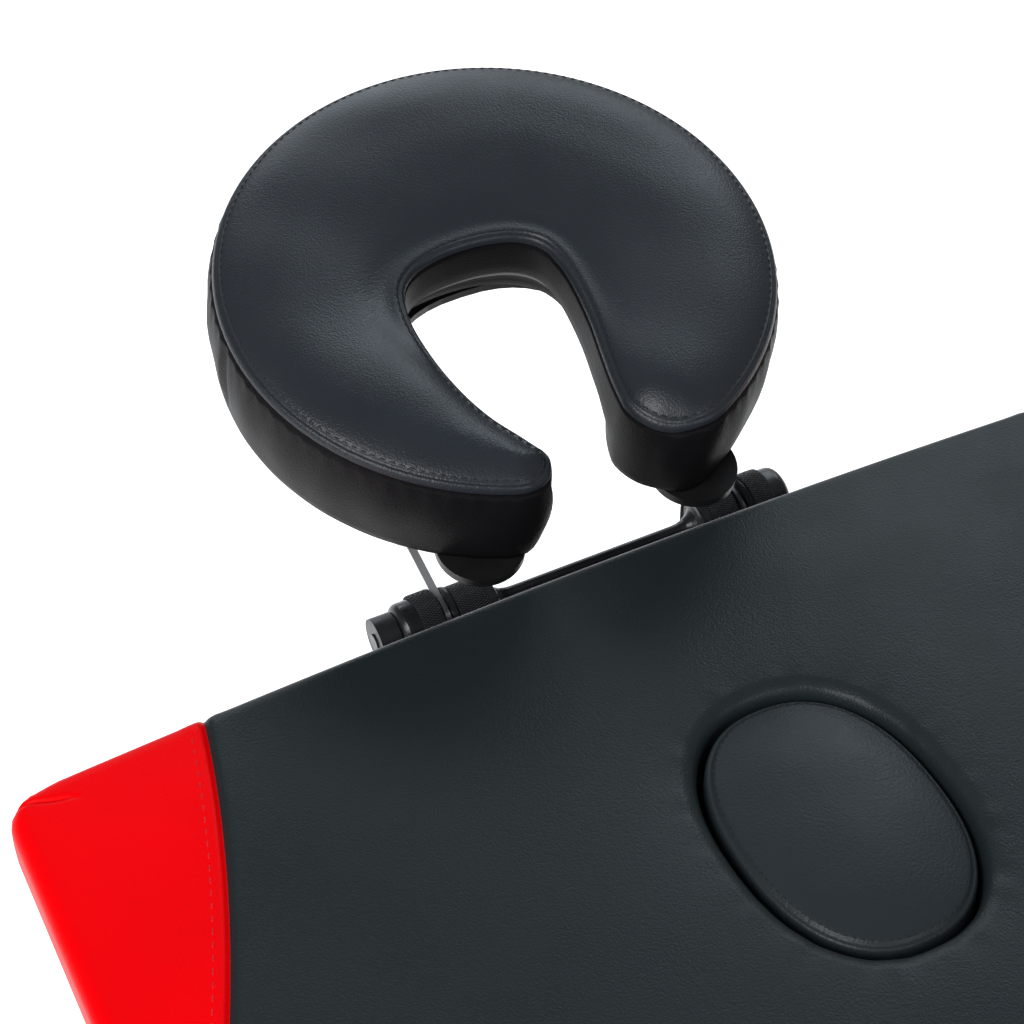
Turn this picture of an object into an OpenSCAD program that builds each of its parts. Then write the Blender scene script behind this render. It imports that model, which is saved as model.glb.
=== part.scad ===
// Portable two-section massage table with an aluminium frame and an adjustable face cradle.
// Head end towards +Y, floor at z = 0. The design is drawn about the centre hinge line and
// moved at the end so that the origin is the middle of the footprint.

/* [Table] */
// Width of the padded top
table_w = 680; // [620:10:820]
// Length of the padded top, both halves
table_len = 1860; // [1700:10:2000]
// Height of the padded top with the legs fully in
top_h = 580; // [560:10:640]
// How far the middle of each short end bows outwards
end_bow = 8.8; // [0:0.2:20]
// Corner radius of the padded top
corner_r = 24; // [8:1:50]
// Thickness of the foam and cover
pad_t = 55; // [30:1:80]
// Thickness of the plywood deck
board_t = 6; // [4:0.5:10]
// Gap between the two padded halves
half_gap = 2; // [1:0.5:6]

/* [Frame] */
// Height of the frame rails
rail_h = 70; // [60:1:90]
// Thickness of the frame rails
rail_t = 20; // [16:1:26]
// How far the rails stand in from the edge of the pad
rail_inset = 8; // [6:1:20]
// Drop of the centre hinge pin below the rails
hinge_drop = 6; // [5:0.5:10]
// Distance of the centre hinges from the middle
hinge_x = 250; // [150:5:260]
// Width of one hinge
hinge_w = 60; // [40:2:80]
// Radius of the hinge barrels
barrel_r = 4; // [3.5:0.1:5]

/* [Breathing hole] */
// Distance of the breathing hole from the head end
hole_from_end = 191; // [150:1:240]
// Half length of the breathing hole
hole_ry = 78.4; // [60:0.2:95]
// Half width of the breathing hole
hole_rx = 57.5; // [45:0.5:75]
// Gap between the hole and its plug
plug_gap = 3.4; // [1:0.1:5]
// Ledge of the deck that carries the plug
plug_ledge = 8; // [5:0.5:14]

/* [Legs] */
// Distance of the legs from the middle of the table
leg_x = 280; // [268:1:286]
// Radius of the outer leg tubes
leg_r = 14; // [12:0.5:15]
// Wall of the outer leg tubes
leg_wall = 1.75; // [1.5:0.25:2.5]
// Play between the inner and outer leg tubes
leg_play = 0.25; // [0.2:0.05:0.5]
// Wall of the inner leg tubes
inner_wall = 1.5; // [1:0.25:2.5]
// Distance of the leg pivots from the end of the top
pivot_from_end = 50; // [48:1:70]
// Height of the leg pivots above the bottom of the rails
pivot_rise = 35; // [30:1:40]
// Radius of the tube that joins each pair of legs at the pivots
pivot_tube_r = 9; // [8:0.5:10]
// Radius of the leg pivot pins
pivot_pin_r = 5; // [4:0.5:6]
// Radius of the rubber feet
foot_r = 17; // [15:0.5:18]
// Height of the rubber feet
foot_h = 32; // [24:1:44]
// Radius of the tube that braces each pair of legs
brace_tube_r = 11; // [8:0.5:12]
// Radius of the star knobs
knob_r = 15; // [12:0.5:18]

/* [Folding braces] */
// Distance of the brace pivots from the leg pivots
brace_reach = 300; // [260:5:320]
// Width of the brace links
link_w = 20; // [16:1:24]
// Thickness of the brace links
link_t = 4; // [3:0.5:4]
// Radius of the brace studs
stud_r = 4; // [3:0.5:5]

/* [Face cradle] */
// Distance of the cradle posts from the middle
post_x = 94.5; // [90:0.5:110]
// Radius of the cradle posts
post_r = 8; // [6:0.5:9]
// Length of the posts inside the table
post_in = 150; // [120:5:160]
// Distance of the cradle axle beyond the end of the top
axle_out = 46; // [42:1:60]
// Drop of the cradle axle below the top
axle_drop = 54; // [48:1:58]
// Radius of the cradle knuckles
knuckle_r = 16; // [14:0.5:18]
// Radius of the thin bar between the knuckles
bar_r = 3.5; // [3:0.5:5]
// Sideways offset of the platform and cushion
cradle_x = -18; // [-20:1:20]
// Sideways offset of the cushion's opening from the cushion's middle
opening_x = -10.5; // [-12:0.5:12]
// Slope of the face cushion
cradle_pitch = 12; // [8:1:16]
// Height of the cushion's top seam above the table, at the table's end
seam_rise = 75; // [70:1:90]
// Outer radius of the face cushion
cushion_r = 141.5; // [130:0.5:148]
// Distance of the cushion's centre from the end of the top, up its slope
cushion_v = 124.5; // [118:0.5:134]
// Height of the cushion's side wall
cushion_wall = 54; // [44:1:58]
// Height of the cushion's crown above its top seam
cushion_crown = 10; // [4:1:16]
// Outer radius of the cradle platform
platform_r = 126; // [115:1:132]
// Thickness of the cradle platform
platform_t = 5; // [4:0.5:7]
// Thickness of the hook-and-loop strips
hook_t = 2; // [1.5:0.5:3]

/* [Arm sling] */
// Drop of the sling board below the top
sling_drop = 200; // [170:5:230]
// Width of the sling pad
sling_w = 250; // [220:5:300]
// Depth of the sling pad
sling_d = 66; // [50:2:68]
// Width of the sling straps
strap_w = 18; // [16:1:20]
// Thickness of the sling straps
strap_t = 1.8; // [1.2:0.1:2.5]

/* [Fits] */
// Radial clearance of a turning or sliding fit
run_c = 0.05; // [0.02:0.01:0.1]
// Radial clearance of a fixed round joint
fix_c = 0.03; // [0.02:0.01:0.05]
// Gap kept between pieces that move past each other
move_gap = 0.5; // [0.3:0.1:1]

/* [Hidden] */
$fn = 48;

black = [0.17, 0.19, 0.20];
soft_black = [0.13, 0.13, 0.14];
silver = [0.72, 0.73, 0.74];
steel = [0.60, 0.61, 0.62];
ply = [0.72, 0.56, 0.36];

half_len = table_len / 2;
edge_x = table_w / 2;
board_z = top_h - pad_t - board_t;
rail_z = board_z - rail_h;
rail_x = edge_x - rail_inset;
rail_y = half_len - rail_inset;
inner_x = rail_x - rail_t;
hinge_z = rail_z - hinge_drop;
centre_y = half_gap;
hole_y = half_len - hole_from_end;

pivot_y = half_len - pivot_from_end;
pivot_z = rail_z + pivot_rise;
leg_top = 10;
collar_t = 4;
collar_h = 38;
foot_cup = 14;
inner_r = leg_r - leg_wall - leg_play;
knob_z = 94;
outer_end = pivot_z - knob_z - 10;
inner_top = 60;
bar_s = 335;
boss_x = leg_r + 10;
knob_t = 12;
stem_r = 3;

brace_y = pivot_y - brace_reach;
link_len = brace_reach * sqrt(2) / 2;
link_gap = 2;
spacer = 2.5;
lower_x = leg_x - leg_r - spacer - link_t;
upper_x = lower_x - link_gap - link_t;
bracket_t = 4;
bracket_x = upper_x - 2 - bracket_t;

socket_r = post_r + 3;
socket_z = board_z - socket_r - 3;
axle_y = half_len + axle_out;
axle_z = top_h - axle_drop;
axle_r = 5;
arm_t = 4.5;
arm_w = 15;
strap_x0 = 68;
arm_x0 = strap_x0 + strap_w + 1.5;
knuckle_x1 = arm_x0 + arm_t + 20;
dome = 5;
cam_t = 12;
cam_len = 34;
tilt_y = half_len + 114;
tilt_z = top_h - 36;
tilt_pin_r = 4;

latch_y = 640;
latch_z = rail_z + 26;
latch_pin_x = rail_x + 4.2;

platform_w = cushion_wall + hook_t + platform_t;
cushion_x = cradle_x + 0.5;
lobe_x = 61;
lobe_r = 23;
lobe_v = 8;
far_v = cushion_v + cushion_r;
far_y = half_len + far_v * cos(cradle_pitch) + cushion_wall * sin(cradle_pitch);
mid_y = (far_y - half_len) / 2;

// ---- helpers -------------------------------------------------------------

// Half width of a superellipse with half axes a and b, exponent n, as points
function oval(a, b, n, count) = [for (i = [0 : count - 1])
    let (t = 360 * i / count, c = cos(t), s = sin(t))
    [a * sign(c) * pow(abs(c), 2 / n), b * sign(s) * pow(abs(s), 2 / n)]];

// Outline of one padded half: straight centre edge, bowed outer edge, round outer corners
function bow_y(x) = half_len - end_bow * pow(x / edge_x, 2);
function half_outline(w, bow_off, r, y0) = concat(
    [[-w, y0], [w, y0]],
    [for (t = [0 : 15 : 90]) [w - r + r * cos(t), bow_y(w) - bow_off - r + r * sin(t)]],
    [for (k = [1 : 7]) let (x = (w - r) * (1 - k / 4)) [x, bow_y(x) - bow_off]],
    [for (t = [90 : 15 : 180]) [-w + r + r * cos(t), bow_y(w) - bow_off - r + r * sin(t)]]);

// A bar along X from x0 to x1
module bar_x(x0, x1, r) {
    translate([x0, 0, 0])
        rotate([0, 90, 0])
            cylinder(r = r, h = x1 - x0);
}

// A bar along Y from y0 to y1
module bar_y(y0, y1, r) {
    translate([0, y1, 0])
        rotate([90, 0, 0])
            cylinder(r = r, h = y1 - y0);
}

// A copy on each side of the table
module both_sides() {
    children();
    mirror([1, 0, 0])
        children();
}

// The foot end mirrors the head end; side is 1 for right and -1 for left
module end_of(head, side = 1) {
    scale_y = head ? 0 : 1;
    mirror([0, scale_y, 0])
        mirror([side < 0 ? 1 : 0, 0, 0])
            children();
}

// The frame of the sloping cradle: origin on the top seam's plane above the table's end
module on_slope() {
    translate([0, half_len, top_h + seam_rise])
        rotate([cradle_pitch, 0, 0])
            children();
}

// Everything is moved so that the origin is the middle of the footprint
module place() {
    translate([0, -mid_y, 0])
        children();
}

// ---- tops ----------------------------------------------------------------

module breathing_hole(grow) {
    translate([0, hole_y, board_z - 1])
        linear_extrude(board_t + pad_t + 2)
            polygon(oval(hole_rx + grow, hole_ry + grow, 2.2, 48));
}

module head_pad() color(black) {
    difference() {
        translate([0, 0, board_z + board_t])
            linear_extrude(pad_t)
                polygon(half_outline(edge_x, 0, corner_r, half_gap / 2));
        breathing_hole(0);
    }
}

module foot_pad() color(black) {
    end_of(false)
        translate([0, 0, board_z + board_t])
            linear_extrude(pad_t)
                polygon(half_outline(edge_x, 0, corner_r, half_gap / 2));
}

module face_plug() color(soft_black) {
    translate([0, hole_y, board_z + board_t])
        linear_extrude(pad_t)
            polygon(oval(hole_rx - plug_gap, hole_ry - plug_gap, 2.2, 48));
}

module deck() {
    translate([-rail_x, centre_y, board_z])
        cube([2 * rail_x, rail_y - centre_y, board_t]);
}

module head_board() color(ply) {
    difference() {
        deck();
        breathing_hole(-plug_ledge);
    }
}

module foot_board() color(ply) {
    end_of(false)
        deck();
}

// ---- frame ---------------------------------------------------------------

module screw_places() {
    for (y = [centre_y + rail_t / 2, rail_y - rail_t / 2])
        for (z = [rail_z + 16, rail_z + rail_h - 14])
            translate([rail_x, y, z])
                children();
}

module side_rail() {
    difference() {
        translate([inner_x, centre_y, rail_z])
            cube([rail_t, rail_y - centre_y, rail_h]);
        translate([0, pivot_y, pivot_z])
            bar_x(inner_x - 1, rail_x + 1, pivot_pin_r + 3 + fix_c);
        screw_places()
            bar_x(-rail_t - 1, 1, 2.5 + fix_c);
    }
}

module end_rail() {
    difference() {
        translate([-inner_x, rail_y - rail_t, rail_z])
            cube([2 * inner_x, rail_t, rail_h]);
        both_sides()
            translate([post_x, 0, socket_z])
                bar_y(rail_y - rail_t - 1, rail_y + 1, socket_r + fix_c);
        both_sides()
            screw_places()
                bar_x(-rail_t - 16, -rail_t + 1, 2.5 + fix_c);
    }
}

module centre_rail() {
    difference() {
        translate([-inner_x, centre_y, rail_z])
            cube([2 * inner_x, rail_t, rail_h]);
        both_sides()
            screw_places()
                bar_x(-rail_t - 16, -rail_t + 1, 2.5 + fix_c);
    }
}

module head_rail_left() color(silver) end_of(true, -1) side_rail();
module head_rail_right() color(silver) end_of(true, 1) side_rail();
module foot_rail_left() color(silver) end_of(false, -1) side_rail();
module foot_rail_right() color(silver) end_of(false, 1) side_rail();
module head_end_rail() color(silver) end_of(true) end_rail();
module foot_end_rail() color(silver) end_of(false) end_rail();
module head_centre_rail() color(silver) end_of(true) centre_rail();
module foot_centre_rail() color(silver) end_of(false) centre_rail();

// Frame screws, heads on the outside of the side rails
module frame_screws() {
    both_sides()
        screw_places() {
            bar_x(-rail_t - 15, 0, 2.5);
            bar_x(0, 2, 5);
        }
}
module head_screws() color(steel) end_of(true) frame_screws();
module foot_screws() color(steel) end_of(false) frame_screws();

// Each hinge: a leaf under the centre rail and its share of the barrel round the pin
module hinge_half(starts, width) {
    for (sx = [-1, 1])
        translate([sx * hinge_x, 0, 0]) {
            translate([-hinge_w / 2, barrel_r + 1, rail_z - 3])
                cube([hinge_w, rail_t + centre_y - barrel_r - 1, 3]);
            for (x0 = starts)
                difference() {
                    union() {
                        translate([0, 0, hinge_z])
                            bar_x(x0, x0 + width, barrel_r);
                        translate([x0, 0, hinge_z + 1])
                            cube([width, barrel_r + 2, hinge_drop - 1]);
                    }
                    translate([0, 0, hinge_z])
                        bar_x(x0 - 1, x0 + width + 1, 2 + run_c);
                }
        }
}
third = hinge_w / 3;
module head_hinge_leaves() color(steel) hinge_half([-third / 2 + 0.2], third - 0.4);
module foot_hinge_leaves() color(steel)
    end_of(false) hinge_half([-hinge_w / 2, third / 2 + 0.2], third - 0.2);
module hinge_pins() color(steel) {
    for (sx = [-1, 1])
        translate([sx * hinge_x, 0, hinge_z])
            bar_x(-hinge_w / 2 - 1.5, hinge_w / 2 + 1.5, 2);
}

// Lined sockets in the end rail for the cradle posts
module sockets() {
    translate([post_x, 0, socket_z])
        difference() {
            union() {
                bar_y(rail_y - rail_t, rail_y, socket_r);
                bar_y(rail_y, rail_y + 2, socket_r + 3);
            }
            bar_y(rail_y - rail_t - 1, rail_y + 3, post_r + run_c);
        }
}

// Bushes in the side rails for the leg pivots
module pivot_bushes() {
    translate([0, pivot_y, pivot_z])
        difference() {
            bar_x(inner_x, rail_x, pivot_pin_r + 3);
            bar_x(inner_x - 1, rail_x + 1, pivot_pin_r + run_c);
        }
}

module bushes() {
    both_sides() {
        sockets();
        pivot_bushes();
    }
}
module head_bushes() color(soft_black) end_of(true) bushes();
module foot_bushes() color(soft_black) end_of(false) bushes();

// ---- legs ----------------------------------------------------------------

module outer_leg() {
    difference() {
        union() {
            translate([leg_x, pivot_y, pivot_z - outer_end])
                cylinder(r = leg_r, h = outer_end + leg_top);
            translate([leg_x, pivot_y, knob_z - 10])
                cylinder(r = leg_r + collar_t, h = collar_h);
            translate([0, pivot_y, knob_z])
                bar_x(leg_x - boss_x, leg_x - leg_r, 8);
            translate([0, pivot_y, pivot_z - brace_reach]) {
                bar_x(leg_x - leg_r - spacer, leg_x - leg_r + 4, 8);
                bar_x(lower_x, leg_x - leg_r, stud_r);
            }
        }
        translate([leg_x, pivot_y, 0])
            cylinder(r = leg_r - leg_wall, h = pivot_z + leg_top + 1);
        translate([0, pivot_y, pivot_z])
            bar_x(leg_x - 30, leg_x + 30, pivot_tube_r + fix_c);
        translate([0, pivot_y, knob_z])
            bar_x(leg_x - boss_x - 1, leg_x, stem_r + run_c);
    }
}
module head_leg_left() color(silver) end_of(true, -1) outer_leg();
module head_leg_right() color(silver) end_of(true, 1) outer_leg();
module foot_leg_left() color(silver) end_of(false, -1) outer_leg();
module foot_leg_right() color(silver) end_of(false, 1) outer_leg();

// The tube that turns in the side rails, and the lower tube that braces the pair of legs
module leg_bars() {
    translate([0, pivot_y, pivot_z]) {
        bar_x(-inner_x + 3, inner_x - 3, pivot_tube_r);
        bar_x(-rail_x + 2, rail_x - 2, pivot_pin_r);
    }
    difference() {
        translate([0, pivot_y, pivot_z - bar_s])
            bar_x(-leg_x, leg_x, brace_tube_r);
        both_sides()
            translate([leg_x, pivot_y, pivot_z - bar_s - 20])
                cylinder(r = leg_r + fix_c, h = 40);
    }
}
module head_leg_bars() color(silver) end_of(true) leg_bars();
module foot_leg_bars() color(silver) end_of(false) leg_bars();

module inner_leg() {
    translate([leg_x, pivot_y, foot_cup])
        difference() {
            cylinder(r = inner_r, h = pivot_z - inner_top - foot_cup);
            translate([0, 0, -1])
                cylinder(r = inner_r - inner_wall, h = pivot_z);
        }
}
module head_inner_left() color(silver) end_of(true, -1) inner_leg();
module head_inner_right() color(silver) end_of(true, 1) inner_leg();
module foot_inner_left() color(silver) end_of(false, -1) inner_leg();
module foot_inner_right() color(silver) end_of(false, 1) inner_leg();

module rubber_foot() {
    translate([leg_x, pivot_y, 0])
        difference() {
            rotate_extrude()
                polygon([[0, 0], [foot_r - 2, 0], [foot_r, 3], [foot_r, foot_h - 12],
                    [inner_r + 2.5, foot_h], [0, foot_h]]);
            translate([0, 0, foot_cup])
                cylinder(r = inner_r + fix_c, h = foot_h);
        }
}
module head_rubber_left() color(soft_black) end_of(true, -1) rubber_foot();
module head_rubber_right() color(soft_black) end_of(true, 1) rubber_foot();
module foot_rubber_left() color(soft_black) end_of(false, -1) rubber_foot();
module foot_rubber_right() color(soft_black) end_of(false, 1) rubber_foot();

module star_knob() {
    translate([0, pivot_y, knob_z]) {
        difference() {
            bar_x(leg_x - boss_x - move_gap - knob_t, leg_x - boss_x - move_gap, knob_r);
            for (t = [0 : 60 : 300])
                rotate([t, 0, 0])
                    translate([0, knob_r + 2, 0])
                        bar_x(leg_x - boss_x - knob_t - 2, leg_x - boss_x, 5);
        }
        bar_x(leg_x - boss_x - 2, leg_x - inner_r - 1.2, stem_r);
    }
}
module head_knob_left() color(soft_black) end_of(true, -1) star_knob();
module head_knob_right() color(soft_black) end_of(true, 1) star_knob();
module foot_knob_left() color(soft_black) end_of(false, -1) star_knob();
module foot_knob_right() color(soft_black) end_of(false, 1) star_knob();

// ---- folding braces ------------------------------------------------------

// A flat link in the plane of the slope from the rail bracket down to the leg
module link_bar(x0) {
    rotate([90, 0, 90])
        translate([0, 0, x0])
            linear_extrude(link_t)
                union() {
                    circle(r = link_w / 2);
                    translate([0, -link_w / 2])
                        square([link_len, link_w]);
                    translate([link_len, 0])
                        circle(r = link_w / 2);
                }
}

module upper_link() {
    translate([0, brace_y, pivot_z])
        rotate([-45, 0, 0]) {
            difference() {
                link_bar(upper_x);
                bar_x(upper_x - 1, upper_x + link_t + 1, stud_r + run_c);
            }
            translate([0, link_len, 0]) {
                bar_x(upper_x - 1.5, upper_x, 6);
                bar_x(upper_x + link_t, upper_x + link_t + link_gap / 2 - 0.1, 8);
            }
        }
}

module lower_link() {
    translate([0, pivot_y, pivot_z - brace_reach])
        rotate([135, 0, 0]) {
            difference() {
                link_bar(lower_x);
                bar_x(lower_x - 1, lower_x + link_t + 1, stud_r + run_c);
            }
            translate([0, link_len, 0]) {
                bar_x(lower_x - link_gap / 2 + 0.1, lower_x, 8);
                bar_x(lower_x + link_t, lower_x + link_t + 1.5, 6);
            }
        }
}
module head_upper_links() color(steel) end_of(true) both_sides() upper_link();
module foot_upper_links() color(steel) end_of(false) both_sides() upper_link();
module head_lower_links() color(steel) end_of(true) both_sides() lower_link();
module foot_lower_links() color(steel) end_of(false) both_sides() lower_link();

// Bracket under the deck that carries the upper link on a stud
module brace_bracket() {
    translate([bracket_x, brace_y - 11, pivot_z - 12])
        cube([bracket_t, 22, board_z - pivot_z + 12]);
    translate([bracket_x - 16, brace_y - 11, board_z - 3])
        cube([16, 22, 3]);
    translate([0, brace_y, pivot_z]) {
        bar_x(bracket_x, upper_x + link_t, stud_r);
        bar_x(bracket_x, upper_x - run_c, 7);
    }
}
module head_brace_brackets() color(steel) end_of(true) both_sides() brace_bracket();
module foot_brace_brackets() color(steel) end_of(false) both_sides() brace_bracket();

// ---- face cradle ---------------------------------------------------------

// Round posts that slide in the sockets, each with a knuckle block round the axle
module cradle_posts() color(soft_black) {
    for (sx = [-1, 1])
        mirror([sx < 0 ? 1 : 0, 0, 0]) {
            translate([post_x, 0, socket_z])
                bar_y(rail_y - post_in, axle_y, post_r);
            difference() {
                union() {
                    translate([0, axle_y, axle_z]) {
                        bar_x(strap_x0 - 5, arm_x0 - move_gap, knuckle_r);
                        bar_x(arm_x0 + arm_t + move_gap, knuckle_x1, knuckle_r);
                        translate([knuckle_x1, 0, 0])
                            rotate([0, 90, 0])
                                rotate_extrude()
                                    polygon(concat([[0, 0]],
                                        [for (t = [0 : 15 : 75])
                                            [knuckle_r - dome + dome * cos(t), dome * sin(t)]],
                                        [[0, dome * sin(75)]]));
                    }
                    translate([strap_x0 - 5, axle_y - post_r, socket_z - post_r])
                        cube([knuckle_x1 - strap_x0 + 5, 2 * post_r,
                            axle_z - knuckle_r + 2 - socket_z + post_r]);
                }
                translate([strap_x0 - 1, axle_y, axle_z])
                    difference() {
                        bar_x(0, strap_w + 1 - move_gap, knuckle_r + 1);
                        bar_x(-1, strap_w + 3, knuckle_r - strap_t - 1.2);
                    }
                translate([0, axle_y, axle_z]) {
                    bar_x(strap_x0 - 10, knuckle_x1 + dome + 1, axle_r + fix_c);
                    bar_x(arm_x0 - move_gap, arm_x0 + arm_t + move_gap,
                        arm_w / 2 + move_gap);
                }
            }
        }
}

// Thin bar between the knuckles with flared ends, on the axle that carries the arms
module cradle_crossbar() color(soft_black) {
    translate([0, axle_y, axle_z]) {
        bar_x(-strap_x0 - 4, strap_x0 + 4, bar_r);
        bar_x(-knuckle_x1 - dome - cam_t - 1, -knuckle_x1, axle_r);
        for (sx = [-1, 1])
            mirror([sx < 0 ? 1 : 0, 0, 0]) {
                bar_x(strap_x0 - 4, knuckle_x1 + dome, axle_r);
                translate([strap_x0 - 5, 0, 0])
                    rotate([0, -90, 0])
                        rotate_extrude()
                            polygon(concat([[0, 0], [13, 0]],
                                [for (t = [0 : 15 : 90])
                                    [13 - (13 - bar_r) * sin(t), 14 - 14 * cos(t)]],
                                [[0, 14]]));
            }
    }
}

// Flat arms from the axle up to the platform
module cradle_arms() color(silver) {
    arm_len = norm([tilt_y - axle_y, tilt_z - axle_z]);
    lean = atan2(tilt_z - axle_z, tilt_y - axle_y);
    for (sx = [-1, 1])
        mirror([sx < 0 ? 1 : 0, 0, 0])
            difference() {
                translate([0, axle_y, axle_z])
                    rotate([lean, 0, 0])
                        rotate([90, 0, 90])
                            translate([0, 0, arm_x0])
                                linear_extrude(arm_t)
                                    union() {
                                        circle(r = arm_w / 2);
                                        translate([0, -arm_w / 2])
                                            square([arm_len, arm_w]);
                                        translate([arm_len, 0])
                                            circle(r = arm_w / 2);
                                    }
                translate([0, axle_y, axle_z])
                    bar_x(arm_x0 - 1, arm_x0 + arm_t + 1, axle_r + run_c);
                translate([0, tilt_y, tilt_z])
                    bar_x(arm_x0 - 1, arm_x0 + arm_t + 1, tilt_pin_r + run_c);
            }
}

// Cam lever on the left end of the axle that locks the arms
module cam_lever() color(soft_black) {
    cam_x = -knuckle_x1 - dome - cam_t;
    difference() {
        union() {
            translate([0, axle_y, axle_z])
                bar_x(cam_x, cam_x + cam_t - move_gap, 13);
            translate([cam_x + 1, axle_y - 8, axle_z - cam_len])
                cube([cam_t - 2, 16, cam_len]);
            translate([0, axle_y, axle_z - cam_len])
                bar_x(cam_x + 1, cam_x + cam_t - 1, 10);
        }
        translate([0, axle_y, axle_z])
            bar_x(cam_x - 1, cam_x + cam_t + 1, axle_r + run_c);
    }
}

// Brackets under the platform with pins through the arms
module platform_brackets() color(soft_black) {
    for (sx = [-1, 1])
        mirror([sx < 0 ? 1 : 0, 0, 0]) {
            difference() {
                translate([arm_x0 - 5, tilt_y - 13, tilt_z - 9])
                    cube([4.5, 26, 90]);
                on_slope()
                    translate([0, -60, -platform_w])
                        cube([200, 300, 100]);
            }
            translate([0, tilt_y, tilt_z])
                bar_x(arm_x0 - 5, arm_x0 + arm_t + 1, tilt_pin_r);
            translate([0, tilt_y, tilt_z])
                bar_x(arm_x0 + arm_t + move_gap, arm_x0 + arm_t + 3, 7);
        }
}

module platform_shape() {
    difference() {
        union() {
            translate([0, cushion_v])
                circle(r = platform_r, $fn = 96);
            for (sx = [-1, 1])
                translate([sx * lobe_x, lobe_v])
                    circle(r = lobe_r, $fn = 64);
        }
        translate([0, cushion_v - 37.5])
            polygon(oval(62, 71, 2.5, 48));
        translate([-lobe_x + lobe_r, -30])
            square([2 * (lobe_x - lobe_r), 70]);
    }
}

// Horseshoe board under the cushion, with rounded tips
module platform() color(soft_black) {
    on_slope()
        translate([cradle_x, 0, -platform_w])
            linear_extrude(platform_t)
                offset(r = 14)
                    offset(delta = -14)
                        platform_shape();
}

// Hook-and-loop strips between the board and the cushion
module hook_strips() color(soft_black) {
    on_slope()
        for (p = [[-82, 90], [82, 90], [0, 214]])
            translate([cradle_x + p[0] - 16, p[1] - 26, -platform_w + platform_t])
                cube([32, 52 - (p[0] == 0 ? 18 : 0), hook_t]);
}

module face_cushion() color(black) {
    on_slope()
        translate([cushion_x, 0, -cushion_wall])
            linear_extrude(cushion_wall + cushion_crown)
                difference() {
                    translate([0, cushion_v])
                        circle(r = cushion_r, $fn = 96);
                    translate([opening_x, cushion_v - 32])
                        polygon(oval(42, 52, 2.4, 40));
                    translate([opening_x - 27, -30])
                        square([54, 90]);
                }
}

// ---- arm sling -----------------------------------------------------------

module sling_straps() color(soft_black) {
    seat_r = knuckle_r - strap_t - 0.8;
    hang = top_h - sling_drop;
    for (sx = [-1, 1])
        mirror([sx < 0 ? 1 : 0, 0, 0])
            difference() {
                union() {
                    translate([0, axle_y, axle_z])
                        bar_x(strap_x0, strap_x0 + strap_w - 1, seat_r + strap_t);
                    translate([strap_x0, axle_y - seat_r - strap_t, hang])
                        cube([strap_w - 1, 2 * (seat_r + strap_t), axle_z - hang]);
                }
                translate([0, axle_y, axle_z])
                    bar_x(strap_x0 - 1, strap_x0 + strap_w + 1, seat_r);
                translate([strap_x0 - 1, axle_y - seat_r, hang - 1])
                    cube([strap_w + 2, 2 * seat_r, axle_z - hang + 1]);
            }
}

module sling_pad() color(soft_black) {
    translate([-sling_w / 2, axle_y - sling_d / 2, top_h - sling_drop - 20])
        cube([sling_w, sling_d, 20]);
}

// ---- fittings ------------------------------------------------------------

// Draw latches on the long sides that hold the folded table shut
module latch_plates() color(steel) {
    both_sides()
        translate([rail_x, latch_y - 15, latch_z - 8])
            cube([2, 30, 32]);
}

module latch_lever() {
    translate([latch_pin_x, latch_y, latch_z + 18])
        bar_y(-11, 11, 1.8);
    translate([latch_pin_x - 1.4, latch_y - 11, latch_z - 14])
        cube([2.8, 22, 32]);
}
module latch_lever_left() color(steel) mirror([1, 0, 0]) latch_lever();
module latch_lever_right() color(steel) latch_lever();

module latch_keepers() color(steel) {
    end_of(false)
        both_sides() {
            translate([rail_x, latch_y - 12, latch_z - 8])
                cube([2, 24, 20]);
            translate([rail_x + 2, latch_y - 9, latch_z - 6])
                cube([4, 18, 4]);
        }
}

// Webbing carry handle along the right-hand rail, with a padded grip
module handle() {
    translate([rail_x, 140, rail_z + 34])
        cube([3, 260, 26]);
    translate([rail_x + 3, 220, rail_z + 31])
        cube([4.5, 100, 32]);
}
module head_handle() color(soft_black) end_of(true) handle();
module foot_handle() color(soft_black) end_of(false) handle();

place() head_pad();
place() foot_pad();
place() face_plug();
place() head_board();
place() foot_board();
place() head_rail_left();
place() head_rail_right();
place() foot_rail_left();
place() foot_rail_right();
place() head_end_rail();
place() foot_end_rail();
place() head_centre_rail();
place() foot_centre_rail();
place() head_hinge_leaves();
place() foot_hinge_leaves();
place() hinge_pins();
place() head_bushes();
place() foot_bushes();
place() head_brace_brackets();
place() foot_brace_brackets();
place() head_screws();
place() foot_screws();
place() head_leg_left();
place() head_leg_right();
place() foot_leg_left();
place() foot_leg_right();
place() head_leg_bars();
place() foot_leg_bars();
place() head_inner_left();
place() head_inner_right();
place() foot_inner_left();
place() foot_inner_right();
place() head_rubber_left();
place() head_rubber_right();
place() foot_rubber_left();
place() foot_rubber_right();
place() head_knob_left();
place() head_knob_right();
place() foot_knob_left();
place() foot_knob_right();
place() head_upper_links();
place() foot_upper_links();
place() head_lower_links();
place() foot_lower_links();
place() cradle_posts();
place() cradle_crossbar();
place() cradle_arms();
place() cam_lever();
place() platform_brackets();
place() platform();
place() hook_strips();
place() face_cushion();
place() sling_straps();
place() sling_pad();
place() latch_plates();
place() latch_lever_left();
place() latch_lever_right();
place() latch_keepers();
place() head_handle();
place() foot_handle();
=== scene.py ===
import math
import random

import bmesh
import bpy
import numpy as np
from mathutils import Matrix, Vector
from mathutils.geometry import delaunay_2d_cdt


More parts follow.
